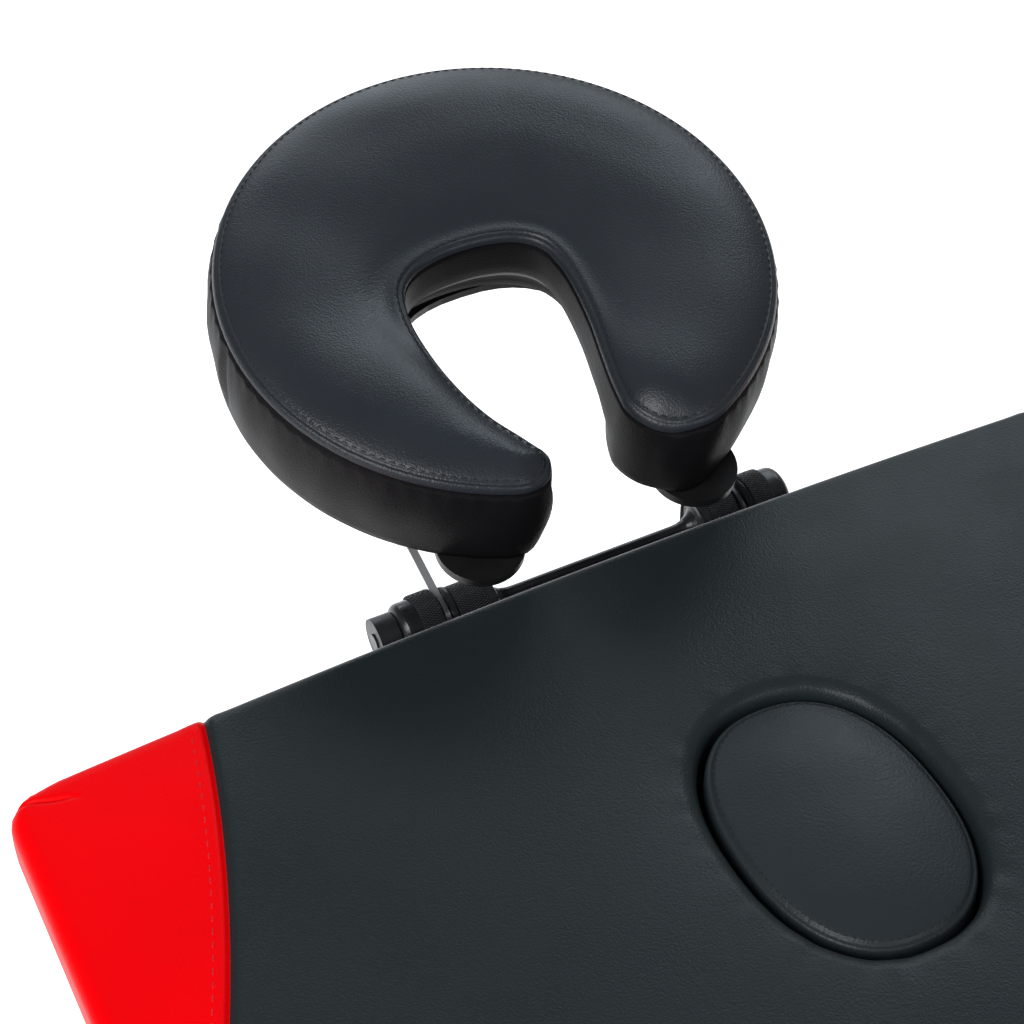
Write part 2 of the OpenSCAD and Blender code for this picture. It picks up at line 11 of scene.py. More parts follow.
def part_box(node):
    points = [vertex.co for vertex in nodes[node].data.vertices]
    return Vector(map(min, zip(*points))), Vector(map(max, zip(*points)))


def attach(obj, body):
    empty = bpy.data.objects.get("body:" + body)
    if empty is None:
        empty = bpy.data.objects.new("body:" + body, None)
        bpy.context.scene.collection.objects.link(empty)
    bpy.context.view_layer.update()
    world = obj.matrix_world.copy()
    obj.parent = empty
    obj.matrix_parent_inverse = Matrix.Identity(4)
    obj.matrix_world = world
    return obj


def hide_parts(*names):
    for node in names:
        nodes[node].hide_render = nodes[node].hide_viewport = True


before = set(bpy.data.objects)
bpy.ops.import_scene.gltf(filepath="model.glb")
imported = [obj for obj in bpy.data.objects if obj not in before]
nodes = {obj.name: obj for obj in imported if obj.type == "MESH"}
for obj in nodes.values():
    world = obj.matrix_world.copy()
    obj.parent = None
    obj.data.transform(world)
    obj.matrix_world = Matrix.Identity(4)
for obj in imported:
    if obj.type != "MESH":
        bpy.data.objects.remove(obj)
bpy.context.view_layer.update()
random.seed(7)

# ---- places taken from the frame ------------------------------------------
pad_lo, pad_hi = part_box("head_pad")
TOP = pad_hi.z
END_Y = pad_hi.y
HALF_W = pad_hi.x
PROUD = 0.0018
COVER_TOP = TOP + 0.0012
HINGE_Y = pad_lo.y - 0.001
PAD_LOW = pad_lo.z
SKIRT_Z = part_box("head_board")[0].z
BOW = 0.0112
CORNER_R = 0.019
plug_lo, plug_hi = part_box("face_plug")
HOLE_Y = (plug_lo.y + plug_hi.y) / 2
HOLE_A = (plug_hi.x - plug_lo.x) / 2
HOLE_B = (plug_hi.y - plug_lo.y) / 2
strip_lo, strip_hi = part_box("face_cushion")
CUSHION_X = (strip_lo.x + strip_hi.x) / 2
PITCH = math.radians(12)
SLOPE_O = Vector((0, END_Y, TOP + 0.075))
SLOPE_V = Vector((0, math.cos(PITCH), math.sin(PITCH)))
SLOPE_N = Vector((0, -math.sin(PITCH), math.cos(PITCH)))
post_lo, post_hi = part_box("cradle_arms")
AXLE_Y = END_Y + 0.046
AXLE_Z = TOP - 0.054

# ---- camera and light -------------------------------------------------------


def add_camera():
    data = bpy.data.cameras.new("camera")
    cam = bpy.data.objects.new("camera", data)
    bpy.context.scene.collection.objects.link(cam)
    bpy.context.scene.camera = cam
    data.lens, data.sensor_width = 78.1, 36
    data.clip_end = 100
    yaw, pitch, roll = 0.449, 0.783, -0.0185
    f = Vector((math.sin(yaw) * math.cos(pitch), math.cos(yaw) * math.cos(pitch), -math.sin(pitch)))
    r = Vector((math.cos(yaw), -math.sin(yaw), 0))
    u = r.cross(f)
    right = math.cos(roll) * r + math.sin(roll) * u
    up = -math.sin(roll) * r + math.cos(roll) * u
    m = Matrix((right, up, -f)).transposed().to_4x4()
    m.translation = Vector((-0.4004, END_Y - 0.6845, TOP + 0.8128))
    cam.matrix_world = m


def area_light(name, place, target, size, power, colour=(1, 1, 1)):
    data = bpy.data.lights.new(name, "AREA")
    data.shape, data.size, data.energy, data.color = "DISK", size, power, colour
    o = bpy.data.objects.new(name, data)
    bpy.context.scene.collection.objects.link(o)
    o.location = place
    o.rotation_euler = (Vector(target) - Vector(place)).to_track_quat("-Z", "Y").to_euler()


add_camera()
bpy.context.scene.view_settings.view_transform = "Standard"
world = bpy.data.worlds.new("studio")
world.use_nodes = True
world.node_tree.nodes["Background"].inputs[0].default_value = (0.93, 0.96, 1.0, 1)
world.node_tree.nodes["Background"].inputs[1].default_value = 0.20
bpy.context.scene.world = world
area_light("key", (-2.6, -0.6, 3.0), (0, 0.6, 0.5), 2.2, 115)
area_light("back_right", (2.3, 2.9, 2.9), (0, 0.7, 0.5), 1.7, 28, (0.82, 0.91, 1.0))
area_light("back_low", (0.9, 4.2, 2.3), (0, 0.9, 0.6), 2.4, 38, (0.84, 0.92, 1.0))
area_light("front", (1.0, -3.4, 2.8), (0, 0.2, 0.4), 2.4, 50)

# ---- node materials ----------------------------------------------------------


class Mat:
    """A node material with short calls for the nodes used here."""

    def __init__(self, name, **sockets):
        self.mat = bpy.data.materials.new(name)
        self.mat.use_nodes = True
        self.tree = self.mat.node_tree
        self.bsdf = self.tree.nodes["Principled BSDF"]
        for key, value in sockets.items():
            self.bsdf.inputs[key.replace("_", " ")].default_value = value
        self.where = self.node("ShaderNodeTexCoord").outputs["Object"]

    def node(self, kind, **values):
        n = self.tree.nodes.new(kind)
        for key, value in values.items():
            setattr(n, key, value)
        return n

    def put(self, value, socket):
        if hasattr(value, "default_value") and hasattr(value, "links"):
            self.tree.links.new(value, socket)
        else:
            socket.default_value = value

    def math(self, op, a, b=0.0, clamp=False):
        n = self.node("ShaderNodeMath", operation=op, use_clamp=clamp)
        self.put(a, n.inputs[0])
        self.put(b, n.inputs[1])
        return n.outputs[0]

    def noise(self, scale, detail=2.0, rough=0.5, where=None):
        n = self.node("ShaderNodeTexNoise")
        self.put(where or self.where, n.inputs["Vector"])
        n.inputs["Scale"].default_value = scale
        n.inputs["Detail"].default_value = detail
        n.inputs["Roughness"].default_value = rough
        return n.outputs["Fac"]

    def cells(self, scale, feature="F1", where=None):
        n = self.node("ShaderNodeTexVoronoi", feature=feature)
        self.put(where or self.where, n.inputs["Vector"])
        n.inputs["Scale"].default_value = scale
        return n.outputs["Distance"]

    def stretch(self, scale, turn=(0, 0, 0)):
        n = self.node("ShaderNodeMapping")
        self.put(self.where, n.inputs["Vector"])
        n.inputs["Scale"].default_value = scale
        n.inputs["Rotation"].default_value = turn
        return n.outputs["Vector"]

    def axes(self, where=None):
        n = self.node("ShaderNodeSeparateXYZ")
        self.put(where or self.where, n.inputs[0])
        return n.outputs

    def ramp(self, fac, stops):
        n = self.node("ShaderNodeValToRGB")
        self.put(fac, n.inputs[0])
        while len(n.color_ramp.elements) < len(stops):
            n.color_ramp.elements.new(0.5)
        for e, (place, c) in zip(n.color_ramp.elements, stops):
            e.position = place
            e.color = (*c, 1) if len(c) == 3 else c
        return n.outputs["Color"]

    def span(self, fac, low, high, to_low=0.0, to_high=1.0):
        n = self.node("ShaderNodeMapRange")
        self.put(fac, n.inputs[0])
        for i, v in enumerate((low, high, to_low, to_high)):
            n.inputs[i + 1].default_value = v
        return n.outputs[0]

    def bump(self, height, distance, strength=1.0):
        n = self.node("ShaderNodeBump")
        n.inputs["Strength"].default_value = strength
        n.inputs["Distance"].default_value = distance
        self.put(height, n.inputs["Height"])
        last = self.bsdf.inputs["Normal"]
        if last.is_linked:
            self.put(last.links[0].from_socket, n.inputs["Normal"])
        self.put(n.outputs[0], last)
        return self

    def colour(self, socket):
        self.put(socket, self.bsdf.inputs["Base Color"])
        return self

    def rough(self, socket):
        self.put(socket, self.bsdf.inputs["Roughness"])
        return self


def srgb(*c):
    return tuple(((v / 255 + 0.055) / 1.055) ** 2.4 if v > 10 else v / 255 / 12.92 for v in c)


def scaled(c, k):
    return tuple(v * k for v in c)


def leather(name, c, rough=0.42, spec=0.20, grain=980, wear=1.13):
    """Coated upholstery: pebbled grain, faint creases, patches of sheen."""
    m = Mat(name, Specular_IOR_Level=spec)
    patches = m.noise(7, 4, 0.6)
    m.colour(m.ramp(patches, [(0.25, scaled(c, 0.92)), (0.55, c), (0.85, scaled(c, wear))]))
    m.rough(m.span(m.noise(23, 3), 0.3, 0.7, rough - 0.045, rough + 0.05))
    pebble = m.cells(grain, "SMOOTH_F1")
    m.bump(m.math("MULTIPLY", pebble, -1.0), 0.00020, 0.8)
    m.bump(m.noise(grain * 1.3, 3, 0.6), 0.00012, 0.5)
    m.bump(m.noise(120, 2), 0.0004, 0.08)
    return m.mat


def weave(name, c, pitch=0.0022, rough=0.62):
    """Flat woven webbing: ribs one way crossed by the weft."""
    m = Mat(name, Specular_IOR_Level=0.3)
    x, y, z = m.axes()
    turn = 2 * math.pi / pitch
    across = m.math("SINE", m.math("MULTIPLY", x, turn))
    along = m.math("SINE", m.math("MULTIPLY", m.math("ADD", y, z), turn * 1.6))
    knit = m.math("MULTIPLY", across, along)
    # the colour follows the weave's height: painted shade in the hollows and a painted highlight on the crests
    m.colour(m.ramp(m.span(knit, -1, 1), [(0.0, scaled(c, 0.3)), (0.55, c), (1.0, scaled(c, 3.2))]))
    m.rough(m.span(m.noise(300), 0.3, 0.7, rough - 0.08, rough + 0.1))
    m.bump(knit, 0.00045, 0.9)
    m.bump(m.noise(1500, 2), 0.0001, 0.4)
    return m.mat


def metal(name, c, rough=0.3, way=(1, 1, 1), marks=0.00005):
    """Metal with fine drawn lines one way and faint handling marks."""
    m = Mat(name, Metallic=1.0)
    lines = m.noise(900, 3, 0.6, m.stretch(way))
    m.colour(m.ramp(m.noise(14, 3), [(0.3, scaled(c, 0.88)), (0.75, c)]))
    m.rough(m.span(lines, 0.3, 0.7, rough - 0.07, rough + 0.1))
    m.bump(lines, marks, 0.6)
    return m.mat


def moulded(name, c, rough=0.45, spec=0.5, grain=900):
    """Moulded plastic or rubber with a fine textured skin."""
    m = Mat(name, Specular_IOR_Level=spec)
    m.colour(m.ramp(m.noise(40, 4), [(0.3, scaled(c, 0.85)), (0.7, scaled(c, 1.2))]))
    m.rough(m.span(m.noise(120, 3), 0.3, 0.7, rough - 0.06, rough + 0.08))
    m.bump(m.noise(grain, 3, 0.65), 0.0001, 0.6)
    m.bump(m.noise(60, 2), 0.0003, 0.2)
    return m.mat


def timber(name, light, dark, edge):
    """Birch plywood: long grain on the faces and ply lines on the edges."""
    m = Mat(name, Roughness=0.5, Specular_IOR_Level=0.35)
    grain = m.noise(60, 5, 0.65, m.stretch((6.0, 0.35, 1.0)))
    face = m.ramp(grain, [(0.3, dark), (0.6, light)])
    z = m.axes()[2]
    plies = m.math("SINE", m.math("MULTIPLY", z, 2 * math.pi / 0.0024))
    mix = m.node("ShaderNodeMix", data_type="RGBA")
    geo = m.node("ShaderNodeNewGeometry")
    up = m.math("ABSOLUTE", m.axes(geo.outputs["Normal"])[2])
    m.put(m.span(up, 0.4, 0.6), mix.inputs[0])
    m.put(m.ramp(m.span(plies, -1, 1), [(0.35, edge), (0.65, light)]), mix.inputs[6])
    m.put(face, mix.inputs[7])
    m.colour(mix.outputs[2])
    m.bump(grain, 0.0002, 0.4)
    return m.mat


def fuzzy(name, c):
    """Hook-and-loop tape."""
    m = Mat(name, Roughness=0.9, Specular_IOR_Level=0.2, Sheen_Weight=0.3)
    loops = m.cells(1300)
    m.colour(m.ramp(loops, [(0.0, scaled(c, 1.6)), (0.6, scaled(c, 0.6))]))
    m.bump(loops, 0.0006, 1.0)
    return m.mat


BLACK = srgb(32, 39, 41)
black_pu = leather("pu_black", BLACK, 0.40)
black_soft = leather("pu_cushion", srgb(35, 40, 46), 0.38, 0.34, 1050)
black_plug = leather("pu_plug", srgb(35, 41, 45), 0.44, 0.26, 820)
# the cushion's boxing is a darker copy of the cushion leather: painted shade on the cushion's sides
boxing_shaded_pu = leather("pu_boxing_shaded", srgb(20, 19, 21), 0.46, 0.08, 1050)
red_pu = leather("pu_red", srgb(246, 0, 8), 0.45, 0.02, 980, 1.03)
for socket, value in (("Coat Weight", 0.35), ("Coat Roughness", 0.34), ("Coat IOR", 1.18)):
    red_pu.node_tree.nodes["Principled BSDF"].inputs[socket].default_value = value
black_thread = moulded("thread_black", srgb(30, 34, 37), 0.6, 0.3, 2500)
red_thread = moulded("thread_red", srgb(214, 8, 20), 0.5, 0.4, 2500)
web_black = weave("webbing_black", srgb(32, 33, 35), 0.0030)
alloy = metal("alloy_brushed", (0.47, 0.48, 0.49), 0.34, (30, 0.6, 30))
alloy_x = metal("alloy_tube", (0.50, 0.51, 0.52), 0.26, (0.6, 30, 30))
alloy_z = metal("alloy_leg", (0.50, 0.51, 0.52), 0.26, (30, 30, 0.6))
zinc = metal("zinc_plate", (0.38, 0.38, 0.39), 0.36, (4, 4, 4), 0.00008)
plastic = moulded("plastic_black", srgb(34, 35, 37), 0.40, 0.5)
painted = moulded("paint_black", srgb(30, 31, 33), 0.30, 0.55, 500)
board_black = moulded("board_black", srgb(22, 22, 23), 0.32, 0.3, 400)
rubber = moulded("rubber_black", srgb(30, 30, 31), 0.72, 0.3, 700)
ply = timber("birch_ply", srgb(206, 170, 118), srgb(178, 136, 86), srgb(120, 84, 48))
tape = fuzzy("hook_tape", srgb(30, 30, 32))

finish_of = {
    "black_pu": black_pu, "alloy": alloy, "alloy_x": alloy_x, "alloy_z": alloy_z, "zinc": zinc,
    "plastic": plastic, "painted": painted, "board": board_black, "rubber": rubber, "ply": ply, "tape": tape,
}


def finish_for(name):
    for part, finish in (
        ("_board", "ply"), ("rubber", "rubber"), ("knob", "plastic"), ("bushes", "plastic"),
        ("end_rail", "alloy_x"), ("centre_rail", "alloy_x"), ("_rail_", "alloy"), ("leg_bars", "alloy_x"),
        ("_leg_", "alloy_z"), ("inner", "alloy_z"), ("posts", "painted"), ("crossbar", "painted"),
        ("arms", "alloy"), ("cam_lever", "plastic"), ("brackets", "zinc"), ("platform", "board"),
        ("strips", "tape"), ("hinge", "zinc"), ("screws", "zinc"), ("links", "zinc"), ("latch", "zinc"),
    ):
        if part in name:
            return finish_of[finish]
    return black_pu


for name, node in nodes.items():
    node.data.materials.clear()
    node.data.materials.append(finish_for(name))
for name in ("platform_brackets",):
    nodes[name].data.materials[0] = painted
nodes["cradle_arms"].data.materials[0] = metal("alloy_arm", (0.86, 0.86, 0.87), 0.45, (30, 0.6, 30))

# ---- mesh helpers -------------------------------------------------------------


def make(name, verts, faces, material, body, smooth=True, weld=1e-5):
    mesh = bpy.data.meshes.new(name)
    mesh.from_pydata([tuple(map(float, v)) for v in verts], [], faces)
    bm = bmesh.new()
    bm.from_mesh(mesh)
    if weld:
        bmesh.ops.remove_doubles(bm, verts=bm.verts, dist=weld)
    bmesh.ops.recalc_face_normals(bm, faces=bm.faces)
    bm.to_mesh(mesh)
    bm.free()
    if smooth:
        mesh.polygons.foreach_set("use_smooth", [True] * len(mesh.polygons))
    mesh.materials.append(material)
    o = bpy.data.objects.new(name, mesh)
    bpy.context.scene.collection.objects.link(o)
    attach(o, body)
    return o


def near(points, ring, closed=True):
    """Distance from each point to a line of points."""
    p = np.asarray(points, float)
    a = np.asarray(ring, float)
    b = np.roll(a, -1, 0) if closed else a[1:]
    a = a if closed else a[:-1]
    d = b - a
    ll = np.maximum((d * d).sum(1), 1e-18)
    best = np.full(len(p), 1e9)
    for i in range(0, len(p), 2000):
        q = p[i : i + 2000, None] - a[None]
        t = np.clip((q * d[None]).sum(2) / ll, 0, 1)
        best[i : i + 2000] = np.sqrt(((q - t[..., None] * d[None]) ** 2).sum(2).min(1))
    return best


def inside(points, ring):
    p = np.asarray(points, float)
    a = np.asarray(ring, float)
    b = np.roll(a, -1, 0)
    hit = np.zeros(len(p), bool)
    for i in range(0, len(p), 2000):
        x, y = p[i : i + 2000, 0:1], p[i : i + 2000, 1:2]
        cross = (a[:, 1] > y) != (b[:, 1] > y)
        dy = np.where(b[:, 1] == a[:, 1], 1e-12, b[:, 1] - a[:, 1])
        at = (b[:, 0] - a[:, 0]) * (y - a[:, 1]) / dy + a[:, 0]
        hit[i : i + 2000] = (cross & (x < at)).sum(1) % 2 == 1
    return hit


def even(line, step, closed=False):
    """The same line with points a steady distance apart, ends kept."""
    a = np.asarray(line, float)
    if closed:
        a = np.vstack([a, a[:1]])
    s = np.concatenate([[0], np.cumsum(np.linalg.norm(np.diff(a, axis=0), axis=1))])
    n = max(2, int(round(s[-1] / step)))
    t = np.linspace(0, s[-1], n + 1)
    out = np.stack([np.interp(t, s, a[:, k]) for k in range(a.shape[1])], 1)
    return out[:-1] if closed else out


def leftward(line, closed):
    """Unit normals to the left of a line of 2-D points."""
    a = np.asarray(line, float)
    if closed:
        d = np.roll(a, -1, 0) - np.roll(a, 1, 0)
    else:
        d = np.gradient(a, axis=0)
    d /= np.maximum(np.linalg.norm(d, axis=1, keepdims=True), 1e-12)
    return np.stack([-d[:, 1], d[:, 0]], 1)


EDGE_STEPS = (0.0003, 0.0009, 0.0018, 0.003, 0.0045, 0.0065, 0.009, 0.012, 0.0165, 0.023)
SEAM_STEPS = (0.0007, 0.0014, 0.0024, 0.0038, 0.006)


def flat_mesh(outer, holes=(), seams=(), spacing=0.014, edge_steps=EDGE_STEPS, seam_steps=SEAM_STEPS):
    """Triangles that fill the outline and follow its edges and seams closely."""
    rings = [np.asarray(outer)] + [np.asarray(h) for h in holes]
    pts, edges = [], []

    def push(line, closed, join):
        k = len(pts)
        pts.extend(map(tuple, line))
        if join:
            n = len(line)
            edges.extend((k + i, k + (i + 1) % n) for i in range(n if closed else n - 1))

    for ring in rings:
        push(ring, True, True)
    for seam in seams:
        push(seam, False, True)

    def clear(line, gap):
        keep = inside(line, rings[0])
        for ring in rings:
            keep &= near(line, ring) > gap * 0.96
        for hole in rings[1:]:
            keep &= ~inside(line, hole)
        return keep

    def off_seams(line, gap):
        keep = np.ones(len(line), bool)
        for seam in seams:
            keep &= near(line, seam, False) > gap
        return keep

    for ring in rings:
        normal = leftward(ring, True)
        if not inside(ring[:1] + normal[:1] * 0.001, ring)[0]:
            normal = -normal
        if ring is not rings[0]:
            normal = -normal
        for d in edge_steps:
            line = ring + normal * d
            line = line[clear(line, d) & off_seams(line, 0.0005)]
            push(line, False, False)
    for seam in seams:
        normal = leftward(seam, False)
        for d in seam_steps:
            for side in (-d, d):
                line = seam + normal * side
                keep = clear(line, 0.0006)
                for other in seams:
                    keep &= near(line, other, False) > d * 0.96
                push(line[keep], False, False)
    lo, hi = rings[0].min(0), rings[0].max(0)
    grid = []
    rows = int((hi[1] - lo[1]) / (spacing * 0.866))
    for j in range(rows + 1):
        y = lo[1] + j * spacing * 0.866
        x0 = lo[0] + (spacing / 2 if j % 2 else 0)
        grid.extend((x, y) for x in np.arange(x0, hi[0], spacing))
    grid = np.array(grid)
    last = edge_steps[-1] + spacing * 0.5
    grid = grid[clear(grid, last) & off_seams(grid, seam_steps[-1] + spacing * 0.35)]
    push(grid, False, False)
    verts, _, faces, _, _, _ = delaunay_2d_cdt([Vector(p) for p in pts], edges, [], 0, 1e-7, False)
    v = np.array([tuple(p) for p in verts])
    f = np.array([tuple(t) for t in faces])
    mid = v[f].mean(1)
    keep = inside(mid, rings[0])
    for hole in rings[1:]:
        keep &= ~inside(mid, hole)
    f = f[keep]
    a, b, c = v[f[:, 0]], v[f[:, 1]], v[f[:, 2]]
    area = (b[:, 0] - a[:, 0]) * (c[:, 1] - a[:, 1]) - (b[:, 1] - a[:, 1]) * (c[:, 0] - a[:, 0])
    f = f[np.abs(area) > 1e-12]
    return v, [tuple(int(i) for i in t) for t in f]


def wall(rows, start, closed=True):
    """Faces between rows of points, the first row first."""
    n = len(rows[0])
    faces = []
    for r in range(len(rows) - 1):
        for i in range(n if closed else n - 1):
            j = (i + 1) % n
            a = start + r * n
            faces.append((a + i, a + j, a + n + j, a + n + i))
    return faces


def groove(d, width, depth):
    return depth * np.exp(-((d / width) ** 2))


def step(x):
    x = np.clip(x, 0, 1)
    return x * x * (3 - 2 * x)


def rounded(d, r, depth=None):
    """How far a rolled edge of radius r drops at distance d from the edge."""
    k = np.clip(1 - d / r, 0, 1)
    return (depth or r) * (1 - np.sqrt(np.maximum(1 - k * k, 0)))


def ripple(p, seed, wave=0.09, size=0.0004):
    """A faint unevenness of cover over foam, the same at every run."""
    rng = np.random.RandomState(seed)
    out = np.zeros(len(p))
    for _ in range(9):
        a, w = rng.rand() * 2 * math.pi, wave * (0.5 + rng.rand())
        k = 2 * math.pi / w
        out += np.sin(k * (p[:, 0] * math.cos(a) + p[:, 1] * math.sin(a)) + rng.rand() * 6.28)
    return size * out / 3


def stitches(name, line, up, material, body, length=0.0046, gap=0.0022, r=0.00042, sink=0.0):
    """A row of thread stitches lying along a line of points."""
    p = np.asarray(line, float)
    s = np.concatenate([[0], np.cumsum(np.linalg.norm(np.diff(p, axis=0), axis=1))])
    verts, faces = [], []
    at = gap
    while at + length < s[-1]:
        ts = np.linspace(at, at + length, 5)
        q = np.stack([np.interp(ts, s, p[:, k]) for k in range(3)], 1)
        t = q[-1] - q[0]
        t /= max(np.linalg.norm(t), 1e-9)
        n = np.array(up(q[2])) if callable(up) else np.array(up, float)
        n = n - t * n.dot(t)
        n /= max(np.linalg.norm(n), 1e-9)
        b = np.cross(t, n)
        k0 = len(verts)
        for i, c in enumerate(q):
            w = (0.35, 0.95, 1.0, 0.95, 0.35)[i]
            lift = (-0.5, 0.5, 0.8, 0.5, -0.5)[i] * r - sink
            for a in range(6):
                ang = a * math.pi / 3
                verts.append(c + n * (lift + math.sin(ang) * r * w) + b * (math.cos(ang) * r * w * 1.25))
        for i in range(4):
            for a in range(6):
                e = (a + 1) % 6
                faces.append((k0 + i * 6 + a, k0 + i * 6 + e, k0 + i * 6 + 6 + e, k0 + i * 6 + 6 + a))
        faces.append(tuple(k0 + a for a in range(5, -1, -1)))
        faces.append(tuple(k0 + 24 + a for a in range(6)))
        at += length + gap
    return make(name, verts, faces, material, body, weld=0)


# ---- the padded tops ------------------------------------------------------------
EDGE_R = 0.008
RIM_R = 0.007
SIDE_X = HALF_W + 0.0004


def bow(x):
    return END_Y + PROUD - BOW * (x / HALF_W) ** 2


def corner_seam_x(t):
    """Distance of the corner seam from the middle, t behind the end of the top."""
    return 0.238 + 0.189 * t + 0.753 * t * t


def top_outline():
    """Outline of the head half, counter-clockwise, from the hinge edge."""
    y0 = HINGE_Y + 0.001
    side = bow(SIDE_X) - CORNER_R
    arc = [math.radians(a) for a in range(0, 91, 6)]
    right = [(SIDE_X - CORNER_R + CORNER_R * math.cos(a), side + CORNER_R * math.sin(a)) for a in arc]
    end = [(x, bow(x)) for x in np.linspace(SIDE_X - CORNER_R, -SIDE_X + CORNER_R, 90)[1:-1]]
    left = [(-x, y) for x, y in reversed(right)]
    r = 0.008
    low = [math.radians(a) for a in range(-90, 1, 15)]
    low_right = [(SIDE_X - r + r * math.cos(a), y0 + r + r * math.sin(a)) for a in low]
    low_left = [(-x, y) for x, y in reversed(low_right)]
    ring = low_right + right + end + left + low_left
    return even(ring, 0.005, True)


def seam_line(side):
    """The corner panel's seam, from the end of the top to its long side."""
    t = np.linspace(0, 0.2660, 80)
    x = np.array([corner_seam_x(k) for k in t])
    t = t[x < SIDE_X - 1e-5]
    x = x[x < SIDE_X - 1e-5]
    y = np.array([bow(a) for a in x]) - t
    line = np.stack([side * x, y], 1)
    return even(line, 0.003)


def oval(a, b, n=2.2, count=150):
    t = np.arange(count) / count * 2 * math.pi
    c, s = np.cos(t), np.sin(t)
    return np.stack([a * np.sign(c) * np.abs(c) ** (2 / n), b * np.sign(s) * np.abs(s) ** (2 / n)], 1)


HOLE = oval(HOLE_A + 0.0018, HOLE_B + 0.0018, 2.3) + np.array([0, HOLE_Y])
RING = top_outline()
SEAMS = [seam_line(-1), seam_line(1)]
# the short darts sewn in at the corners, measured from the end of the top
DART = [(0.3345, -0.0165), (0.3276, -0.0176), (0.3178, -0.0213), (0.3102, -0.0232), (0.3045, -0.0261)]
DARTS = [even(np.array([(side * x, END_Y + y) for x, y in DART]), 0.0012) for side in (-1, 1)]


def snap_ring(ring, points):
    """The ring with its nearest points moved onto the given ones."""
    ring = ring.copy()
    for p in points:
        ring[np.argmin(((ring - p) ** 2).sum(1))] = p
    return ring


def seam_end_on_edge(seam, last):
    p = seam[-1 if last else 0]
    return np.array([math.copysign(SIDE_X, p[0]), p[1] - 0.0006]) if last else np.array([p[0], bow(p[0])])


SEAM_ENDS = [seam_end_on_edge(s, k) for s in SEAMS for k in (False, True)]
RING = snap_ring(RING, SEAM_ENDS)
for seam in SEAMS:
    seam[0] = seam_end_on_edge(seam, False)
    seam[-1] = seam_end_on_edge(seam, True)


def top_height(p, hole):
    d = near(p, RING)
    z = COVER_TOP - rounded(d, EDGE_R)
    z -= 0.0008 * (np.exp(-d / 0.03) - 1)
    z += ripple(p, 3, 0.16, 0.0003) * step(d / 0.03)
    for seam in SEAMS:
        s = near(p, seam, False)
        z -= groove(s, 0.0016, 0.0019)
        z += groove(s - 0.006, 0.004, 0.0005) - groove(s - 0.0072, 0.0008, 0.00035)
    for dart in DARTS:
        tail = np.hypot(p[:, 0] - dart[-1][0], p[:, 1] - dart[-1][1])
        z -= groove(near(p, dart, False), 0.0010, 0.0016) * step(tail / 0.012)
    if hole:
        h = near(p, HOLE)
        z -= rounded(h, RIM_R, 0.008) + 0.0030 * np.exp(-h / 0.020)
        a = np.arctan2(p[:, 1] - HOLE_Y, p[:, 0])
        pucker = np.sin(a * 23) + 0.6 * np.sin(a * 37 + 1)
        z += 0.00022 * pucker * np.exp(-(((h - 0.006) / 0.007) ** 2))
        z -= groove(h - 0.0045, 0.0007, 0.0005)
    return z


def side_rows(ring, low, skirt):
    """The side of the cover: down from the rolled edge, round and under."""
    normal = -leftward(ring, True)
    x, y = ring[:, 0], ring[:, 1]
    s = np.zeros(len(ring))
    for end in SEAM_ENDS:
        s += groove(np.hypot(x - end[0], y - end[1]), 0.0022, 0.0014)
    z0 = COVER_TOP - EDGE_R
    rows = []
    for k in np.linspace(0, 1, 12):
        z = z0 + (low + 0.006 - z0) * k
        puff = 0.0012 * math.sin(math.pi * min(1, k * 1.05)) - 0.0045 * k * k - s
        rows.append(np.column_stack([ring + normal * (puff * (k > 0))[:, None], np.full(len(ring), z)]))
    for a in (25, 50, 75, 90):
        c = math.radians(a)
        inset = 0.0045 + 0.0045 * (1 - math.cos(c))
        rows.append(np.column_stack([ring - normal * (inset + s)[:, None], np.full(len(ring), low + 0.006 - 0.006 * math.sin(c))]))
    rows.append(np.column_stack([ring - normal * (0.0098), np.full(len(ring), low + 0.0002)]))
    return rows


